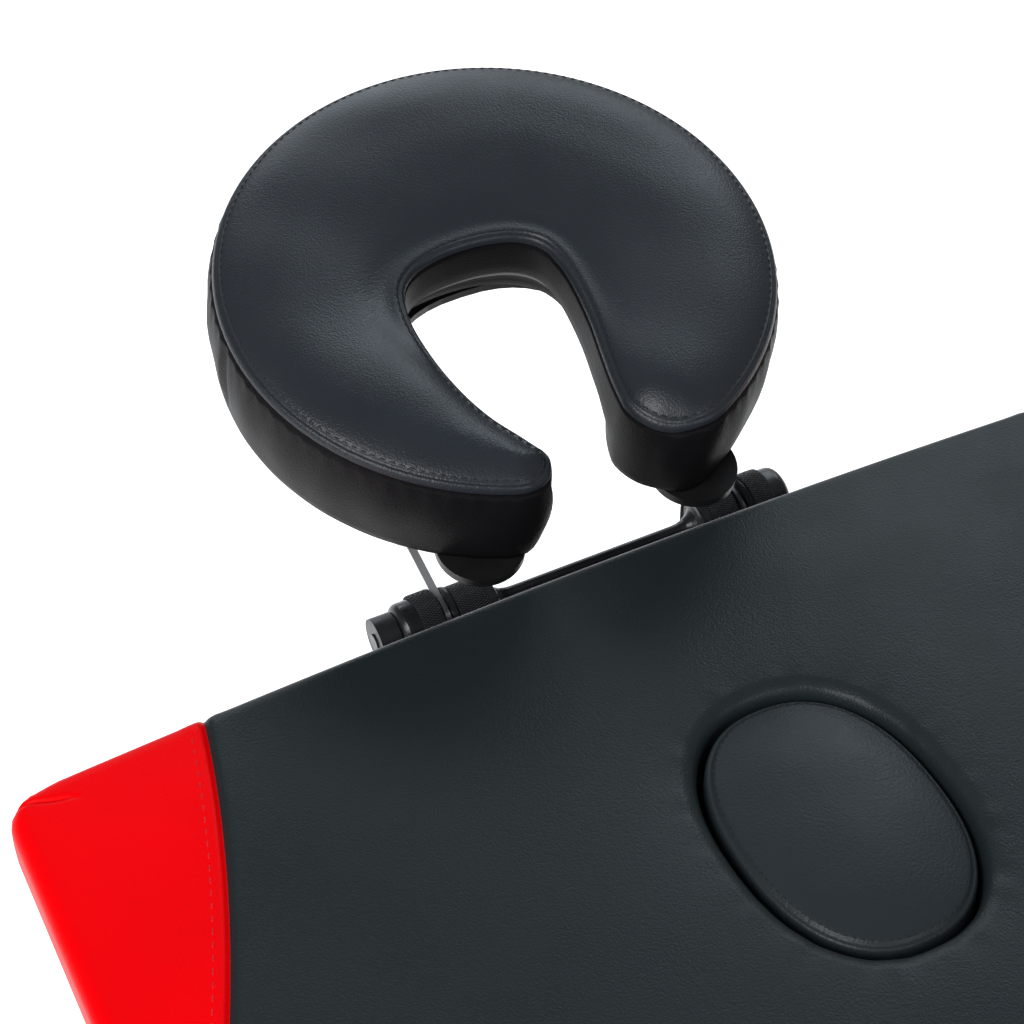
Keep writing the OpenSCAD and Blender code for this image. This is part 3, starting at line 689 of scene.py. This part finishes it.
def build_top(prefix, body, hole, flip):
    v, f = flat_mesh(RING, [HOLE] if hole else [], SEAMS + DARTS)
    z = top_height(v, hole)
    verts = [np.column_stack([v, z])]
    count = len(v)
    rows = side_rows(RING, SKIRT_Z, True)
    rows[0][:, 2] = top_height(RING, hole)
    walls = wall(rows, count)
    verts += rows
    count += sum(len(r) for r in rows)
    if hole:
        z0 = top_height(HOLE, True).mean()
        normal = leftward(HOLE, True)
        deep = []
        for k in np.linspace(0, 1, 8):
            bulge = 0.0012 * math.sin(math.pi * k)
            deep.append(np.column_stack([HOLE + normal * bulge, np.full(len(HOLE), z0 + (PAD_LOW + 0.0005 - z0) * k)]))
        deep[0][:, 2] = top_height(HOLE, True)
        walls += wall(deep, count)
        verts += deep
    verts = np.vstack(verts)
    faces = list(f) + walls
    # under side left open behind the turned-in skirt; faces outside the corner seams go to the red corners
    mid = np.array([verts[list(t)].mean(0) for t in faces])
    t_end = np.array([bow(x) for x in mid[:, 0]]) - mid[:, 1]
    red = (t_end < 0.28) & (np.abs(mid[:, 0]) > corner_seam_x(np.maximum(t_end, 0)))
    if flip:
        verts = verts * np.array([1, -1, 1]) + np.array([0, 2 * HINGE_Y, 0])
    made = {}
    for name, keep, material, slot in (
        ("cover", ~red, black_pu, "vinyl_black"),
        ("corner_left", red & (mid[:, 0] < 0), red_pu, "vinyl_red"),
        ("corner_right", red & (mid[:, 0] > 0), red_pu, "vinyl_red"),
    ):
        part = [faces[i] for i in np.nonzero(keep)[0]]
        used = sorted({i for t in part for i in t})
        index = {a: b for b, a in enumerate(used)}
        part = [tuple(index[i] for i in t) for t in part]
        o = make(f"{prefix}_{name}", verts[used], part, material, body)
        made[name] = o
    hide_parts(f"{prefix}_pad")
    for side, seam in zip(("left", "right"), SEAMS):
        normal = leftward(seam, False)
        toward = np.sign(seam[0][0]) * np.array([1, 0])
        if normal[len(seam) // 2].dot(toward) < 0:
            normal = -normal
        line = even(seam, 0.002)[6:-6]
        n2 = np.stack([np.interp(np.linspace(0, 1, len(line)), np.linspace(0, 1, len(seam)), normal[:, k]) for k in (0, 1)], 1)
        line = line + n2 * 0.0072
        path = np.column_stack([line, top_height(line, hole)])
        if flip:
            path = path * np.array([1, -1, 1]) + np.array([0, 2 * HINGE_Y, 0])
        o = stitches(f"{prefix}_stitching_{side}", path, (0, 0, 1), red_thread, body)
    return made


build_top("head", "head_half", True, False)
build_top("foot", "foot_half", False, True)

# ---- the plug ---------------------------------------------------------------------


def build_plug():
    ring = oval(HOLE_A - 0.0012, HOLE_B - 0.0012, 2.3) + np.array([0.0009, HOLE_Y + 0.0006])
    v, f = flat_mesh(ring, spacing=0.007, edge_steps=(0.0004, 0.001, 0.0018, 0.0026, 0.0034, 0.0042, 0.0055, 0.0075, 0.0105, 0.015))

    def height(p):
        d = near(p, ring)
        z = TOP - 0.0052 - rounded(d, 0.004, 0.0042) + 0.0088 * (1 - np.exp(-d / 0.024))
        z -= groove(d - 0.0026, 0.0008, 0.0013)
        return z + ripple(p, 5, 0.07, 0.0002) * step(d / 0.02)

    verts = [np.column_stack([v, height(v)])]
    rows = []
    normal = -leftward(ring, True)
    z0, z1 = TOP - 0.009, PAD_LOW + 0.0006
    for k in np.linspace(0, 1, 9):
        puff = 0.0008 * math.sin(math.pi * k)
        rows.append(np.column_stack([ring + normal * puff, np.full(len(ring), z0 + (z1 - z0) * k)]))
    rows[0][:, 2] = height(ring)
    faces = list(f) + wall(rows, len(v))
    bottom, g = flat_mesh(ring, spacing=0.02, edge_steps=(0.004,))
    count = len(v) + sum(len(r) for r in rows)
    verts += rows + [np.column_stack([bottom, np.full(len(bottom), z1)])]
    faces += [tuple(i + count for i in t[::-1]) for t in g]
    o = make("plug_cushion", np.vstack(verts), faces, black_plug, "face_plug")
    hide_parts("face_plug")
    inner = ring - normal * 0.0044
    stitches("plug_stitching", np.column_stack([inner, height(inner)])[list(range(len(inner))) + [0]],
             (0, 0, 1), black_thread, "face_plug", 0.0028, 0.0012, 0.0003)


build_plug()

# ---- the face cushion ----------------------------------------------------------------
WALL_H = 0.054
OUT_A = 0.1455
OUT_B = 0.1405
CENTRE_V = 0.1245
SAG = 0.0045
GAP_U = -0.0105


def spline(points, per=10):
    p = np.asarray(points, float)
    p = np.vstack([2 * p[0] - p[1], p, 2 * p[-1] - p[-2]])
    out = []
    for i in range(1, len(p) - 2):
        for t in np.linspace(0, 1, per, endpoint=False):
            a, b, c, d = p[i - 1 : i + 3]
            out.append(0.5 * (2 * b + (c - a) * t + (2 * a - 5 * b + 4 * c - d) * t * t + (3 * b - a - 3 * c + d) * t ** 3))
    out.append(p[-2])
    return np.array(out)


def cushion_outline():
    """The horseshoe, counter-clockwise, in the plane of the slope."""
    arch = [(0, 0.1445), (0.013, 0.1436), (0.0285, 0.1392), (0.039, 0.130)]
    halves = {1: spline(arch + [(0.0425, 0.115), (0.0425, 0.100), (0.040, 0.078), (0.0358, 0.057), (0.0325, 0.040),
                                (0.0308, 0.025), (0.0305, 0.015)]),
              -1: spline(arch + [(0.0435, 0.115), (0.0445, 0.100), (0.0428, 0.078), (0.0385, 0.057), (0.0326, 0.040),
                                 (0.0246, 0.025), (0.0170, 0.010)])}

    def side(sign, tip_r):
        half = halves[sign]
        edge = GAP_U + sign * half[-1][0]
        lo, hi = -math.pi / 2, 0.0
        for _ in range(40):
            t = (lo + hi) / 2
            nu, nv = OUT_B * math.cos(t), OUT_A * math.sin(t)
            size = math.hypot(nu, nv)
            u0, v0 = OUT_A * math.cos(t) - tip_r * nu / size, CENTRE_V + OUT_B * math.sin(t) - tip_r * nv / size
            lo, hi = (t, hi) if u0 < sign * edge + tip_r else (lo, t)
        last = math.atan2(nv, nu)
        line = [(GAP_U + sign * u, v) for u, v in half if v > v0 + 0.002]
        line += [(sign * (u0 + tip_r * math.cos(a)), v0 + tip_r * math.sin(a))
                 for a in np.linspace(-math.pi, last, 14)]
        line += [(sign * OUT_A * math.cos(a), CENTRE_V + OUT_B * math.sin(a))
                 for a in np.linspace(t, math.pi / 2, 60)[1:]]
        return line

    right, left = side(1, 0.030), side(-1, 0.019)
    return even(np.array(right + left[::-1][1:-1]), 0.0036, True)


def lift(uvw):
    """From the slope's plane to the row frame."""
    a = np.asarray(uvw, float)
    o = np.array(SLOPE_O) + np.array([CUSHION_X, 0, 0])
    return o + a[:, 0:1] * np.array([1, 0, 0]) + a[:, 1:2] * np.array(SLOPE_V) + a[:, 2:3] * np.array(SLOPE_N)


CUSHION_STEPS = (0.0004, 0.0011, 0.0018, 0.0025, 0.0031, 0.0037, 0.0044, 0.0053, 0.0068, 0.009, 0.013, 0.018, 0.025)


def sag(p):
    """How far the boxing hangs below the platform's face outside its edge."""
    return SAG * step((np.hypot(p[:, 0], p[:, 1] - CENTRE_V) - 0.128) / 0.008)


def build_cushion():
    ring = cushion_outline()
    is_inner = (np.hypot(ring[:, 0] / OUT_A, (ring[:, 1] - CENTRE_V) / OUT_B) < 0.915) & (np.abs(ring[:, 0] - GAP_U) < 0.048)
    inner_pts = ring[is_inner]
    v, f = flat_mesh(ring, spacing=0.008, edge_steps=CUSHION_STEPS)

    def height(p):
        d = near(p, ring)
        di = np.sqrt(((p[:, None] - inner_pts[None]) ** 2).sum(2).min(1))
        w = 0.0115 * np.sqrt(np.clip(1 - (1 - np.clip(d / 0.036, 0, 1)) ** 2, 0, 1))
        low_v = 0.055 - 0.035 * step((p[:, 0] - GAP_U + 0.06) / 0.12)
        w -= 0.0085 * (1 - step(di / 0.070)) * step((p[:, 1] - low_v) / 0.080) * step(d / 0.014)
        w -= groove(d - 0.0031, 0.0008, 0.0010) + 0.004 * (1 - step(di / 0.02)) * np.exp(-d / 0.02)
        return w + ripple(p, 11, 0.11, 0.0003) * step(d / 0.02)

    faces = list(f)
    verts = [np.column_stack([v, height(v)])]
    normal = -leftward(ring, True)
    start = height(ring)
    rows = []
    ang = np.arctan2(ring[:, 1] - CENTRE_V, ring[:, 0])
    join = groove((ang - math.radians(178)) * OUT_A * (~is_inner) + is_inner * 1.0, 0.0026, 0.0030)
    for k in (0, 0.02, 0.04, 0.07, 0.11, 0.2, 0.32, 0.45, 0.6, 0.75, 0.88, 0.96, 1.0):
        puff = 0.0034 * math.sin(math.pi * k ** 0.8) - 0.0024 * (k < 0.03) * (k > 0) - 0.0035 * (k > 0.99)
        under = 0.012 * step((k - 0.5) / 0.25) * step((ring[:, 1] - 0.02) / 0.06)
        puff = np.where(is_inner, puff * 0.4 - under, puff)
        crease = 0.0004 * np.sin(ang * 31 + 2 * k) * math.sin(math.pi * k) * ~is_inner
        crease = crease + 0.0006 * np.sin(ang * 83) * math.exp(-((k - 0.07) / 0.05) ** 2) * ~is_inner
        w = start + (-WALL_H + 0.001 - start) * k
        rows.append(np.column_stack([ring + normal * (puff - join * math.sin(math.pi * min(1, k + 0.1)) + crease)[:, None], w]))
    for i, r in enumerate(rows):
        r[:, 2] -= sag(rows[-1]) * (i / (len(rows) - 1))
    side = wall(rows, 0)
    base, g = flat_mesh(rows[-1][:, :2], spacing=0.02, edge_steps=(0.003, 0.008))
    top_piece = make("cushion_top", lift(np.vstack(verts)), faces, black_soft, "cradle_platform")
    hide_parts("face_cushion")
    count = sum(len(r) for r in rows)
    under = np.column_stack([base, -WALL_H + 0.001 - sag(base)])
    # boxing and under side get the darker leather copy, painted shade on the cushion's sides
    walls = make("cushion_boxing", lift(np.vstack(rows + [under])), side + [tuple(i + count for i in t) for t in g],
                 boxing_shaded_pu, "cradle_platform")
    line = ring - normal * 0.0044
    path = lift(np.column_stack([line, height(line)]))
    stitches("cushion_stitching", path[list(range(len(path))) + [0]], tuple(SLOPE_N), black_thread,
             "cradle_platform", 0.0034, 0.0016, 0.00034)


build_cushion()

# ---- sling, straps and handles -----------------------------------------------------------


def ribbon(name, path, across, width, thick, material, body, ends=True):
    """A flat strap that follows a path, with soft edges."""
    p = np.asarray(path, float)
    a = np.array(across, float)
    d = np.gradient(p, axis=0)
    d /= np.linalg.norm(d, axis=1, keepdims=True)
    n = np.cross(d, a)
    n /= np.maximum(np.linalg.norm(n, axis=1, keepdims=True), 1e-9)
    prof = []
    for t in np.linspace(0, 2 * math.pi, 20, endpoint=False):
        c, s = math.cos(t), math.sin(t)
        prof.append((math.copysign(abs(c) ** 0.25, c) * width / 2, math.copysign(abs(s) ** 0.6, s) * thick / 2))
    verts, m = [], len(prof)
    for i in range(len(p)):
        verts += [p[i] + a * x + n[i] * y for x, y in prof]
    faces = []
    for i in range(len(p) - 1):
        for k in range(m):
            j = (k + 1) % m
            faces.append((i * m + k, i * m + j, (i + 1) * m + j, (i + 1) * m + k))
    if ends:
        faces.append(tuple(range(m - 1, -1, -1)))
        faces.append(tuple((len(p) - 1) * m + k for k in range(m)))
    return make(name, verts, faces, material, body)


def pillow(name, centre, size, material, body, power=0.5, count=(56, 28)):
    """A stuffed block with rolled edges and a seam round its middle."""
    verts, faces = [], []
    nu, nv = count
    for j in range(nv + 1):
        v = -math.pi / 2 + math.pi * j / nv
        cv = math.copysign(abs(math.cos(v)) ** 0.28, math.cos(v)) if 0 < j < nv else 0.0
        sv = math.copysign(abs(math.sin(v)) ** 0.75, math.sin(v))
        for i in range(nu):
            u = 2 * math.pi * i / nu
            cu = math.copysign(abs(math.cos(u)) ** power * 1.0, math.cos(u))
            su = math.copysign(abs(math.sin(u)) ** power, math.sin(u))
            seam = 1 - 0.012 * math.exp(-((v / 0.06) ** 2))
            verts.append((centre[0] + size[0] / 2 * cv * cu * seam, centre[1] + size[1] / 2 * cv * su * seam,
                          centre[2] + size[2] / 2 * sv))
    for j in range(nv):
        for i in range(nu):
            k = (i + 1) % nu
            faces.append((j * nu + i, j * nu + k, (j + 1) * nu + k, (j + 1) * nu + i))
    return make(name, verts, faces, material, body)


def build_sling():
    lo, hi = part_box("sling_pad")
    mid = (lo + hi) / 2
    o = pillow("sling_cushion", mid, (hi.x - lo.x, hi.y - lo.y, hi.z - lo.z), black_pu, "arm_sling", 0.25)
    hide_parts("sling_pad")
    s_lo, s_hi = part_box("sling_straps")
    axle = (s_lo.y + s_hi.y) / 2
    r = (s_hi.y - s_lo.y) / 2 - 0.0009
    axle_z = s_hi.z - r - 0.0009
    for side, name in ((-1, "left"), (1, "right")):
        x = side * (s_hi.x - 0.0115)
        path = []
        low = hi.z - 0.008
        for z in np.linspace(low, axle_z, 30, endpoint=False):
            path.append((x, axle - r, z))
        for a in np.linspace(math.pi, 0, 25):
            path.append((x, axle + r * math.cos(a), axle_z + r * math.sin(a)))
        for z in np.linspace(axle_z, low, 31)[1:]:
            path.append((x, axle + r, z))
        strap = ribbon(f"sling_strap_{name}", path, (1, 0, 0), 0.0230, 0.0018, web_black, "arm_sling")
        if side < 0:
            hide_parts("sling_straps")
        for y in (axle - r, axle + r):
            box = [(x - 0.008, y, low + 0.004), (x + 0.008, y, low + 0.004), (x + 0.008, y, low + 0.018),
                   (x - 0.008, y, low + 0.018), (x - 0.008, y, low + 0.004), (x + 0.008, y, low + 0.018)]
            out = 1 if y > axle else -1
            path3 = [(a, b + out * 0.0010, c) for a, b, c in box]
            stitches(f"sling_box_stitch_{name}_{'front' if out < 0 else 'back'}", path3, (0, out, 0), black_thread,
                     "arm_sling", 0.0022, 0.0010, 0.0003)


def build_handles():
    for prefix, body in (("head", "head_half"), ("foot", "foot_half")):
        lo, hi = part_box(f"{prefix}_handle")
        mid_y, mid_z = (lo.y + hi.y) / 2, (lo.z + hi.z) / 2
        half = (hi.y - lo.y) / 2
        path = []
        for k in np.linspace(-1, 1, 61):
            out = 0.0011 + 0.0030 * step((1 - abs(k)) / 0.25)
            path.append((lo.x + out, mid_y + half * k, mid_z))
        o = ribbon(f"{prefix}_handle_web", path, (0, 0, 1), 0.026, 0.0020, web_black, body)
        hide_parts(f"{prefix}_handle")
        grip = []
        for k in np.linspace(-1, 1, 25):
            grip.append((lo.x + 0.0044, mid_y + 0.050 * k, mid_z))
        g = ribbon(f"{prefix}_handle_grip", grip, (0, 0, 1), 0.031, 0.0062, black_pu, body)
        for dz in (-0.0115, 0.0115):
            row = [(lo.x + 0.0044 + 0.0031, mid_y + 0.048 * k, mid_z + dz) for k in np.linspace(-1, 1, 30)]
            where = "low" if dz < 0 else "high"
            stitches(f"{prefix}_grip_stitch_{where}", row, (1, 0, 0), black_thread, body, 0.003, 0.0014, 0.0003)
        for sy in (-1, 1):
            y0 = mid_y + sy * (half - 0.024)
            y1 = mid_y + sy * (half - 0.004)
            row = [(lo.x + 0.0024, y0, mid_z - 0.009), (lo.x + 0.0024, y1, mid_z - 0.009), (lo.x + 0.0024, y1, mid_z + 0.009),
                   (lo.x + 0.0024, y0, mid_z + 0.009), (lo.x + 0.0024, y0, mid_z - 0.009), (lo.x + 0.0024, y1, mid_z + 0.009)]
            where = "near" if sy < 0 else "far"
            stitches(f"{prefix}_anchor_stitch_{where}", row, (1, 0, 0), black_thread, body, 0.0024, 0.0011, 0.0003)


def build_wraps():
    """Webbing wound round the outer part of each knuckle, on the cradle's base."""
    lo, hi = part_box("cradle_arms")
    for side, name in ((-1, "left"), (1, "right")):
        for k, (x0, width, r) in enumerate(((hi.x + 0.0015, 0.0125, 0.0168),)):
            x = side * (x0 + width / 2)
            path = [(x, AXLE_Y + r * math.cos(a), AXLE_Z + r * math.sin(a)) for a in np.linspace(-0.9, math.pi + 0.9, 50)]
            ribbon(f"knuckle_wrap_{name}", path, (1, 0, 0), width, 0.0016, web_black, "cradle_base")


build_sling()
build_wraps()
build_handles()

# ---- floor ---------------------------------------------------------------------------------
floor_mesh = bpy.data.meshes.new("floor")
floor_mesh.from_pydata([(-30, -30, 0), (30, -30, 0), (30, 30, 0), (-30, 30, 0)], [], [(0, 1, 2, 3)])
floor = bpy.data.objects.new("floor", floor_mesh)
bpy.context.scene.collection.objects.link(floor)
floor.location.z = -0.0004
white = Mat("floor_white", Roughness=0.9, Specular_IOR_Level=0.1)
white.colour(white.ramp(white.noise(0.7, 2), [(0.0, (0.93, 0.93, 0.93)), (1.0, (0.96, 0.96, 0.96))]))
white.bsdf.inputs["Emission Color"].default_value = (1, 1, 1, 1)
white.bsdf.inputs["Emission Strength"].default_value = 0.75
floor_mesh.materials.append(white.mat)
